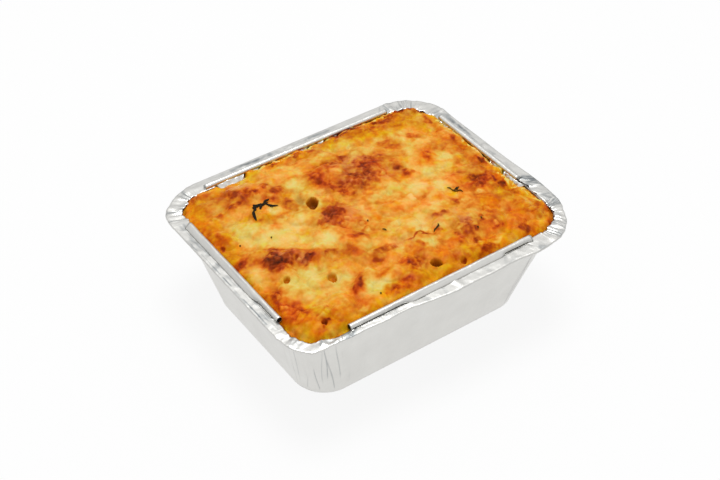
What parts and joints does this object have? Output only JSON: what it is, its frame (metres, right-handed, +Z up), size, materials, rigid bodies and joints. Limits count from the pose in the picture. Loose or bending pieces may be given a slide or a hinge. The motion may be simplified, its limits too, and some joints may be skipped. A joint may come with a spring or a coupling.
{
  "type": "foil tray meal",
  "caption": "Rectangular foil takeaway tray with a folded, partly curled rim, filled to the brim with a domed, blistered macaroni cheese bake; a ready meal to serve or set out.",
  "frame": {"origin": "middle of the flat underside of the tray, on the surface it stands on", "axes": "+X along the long side of the tray, +Y along the short side, +Z up through the food"},
  "size_m": [0.145, 0.1198, 0.0531],
  "materials": {
    "foil": "bright wrinkled foil",
    "cheese": "oily baked cheese, golden with brown blisters",
    "herb": "dry dark green herb"
  },
  "bodies": {
    "root": {"foil_tray": "foil", "pasta_bake": "cheese"}
  },
  "joints": []
}
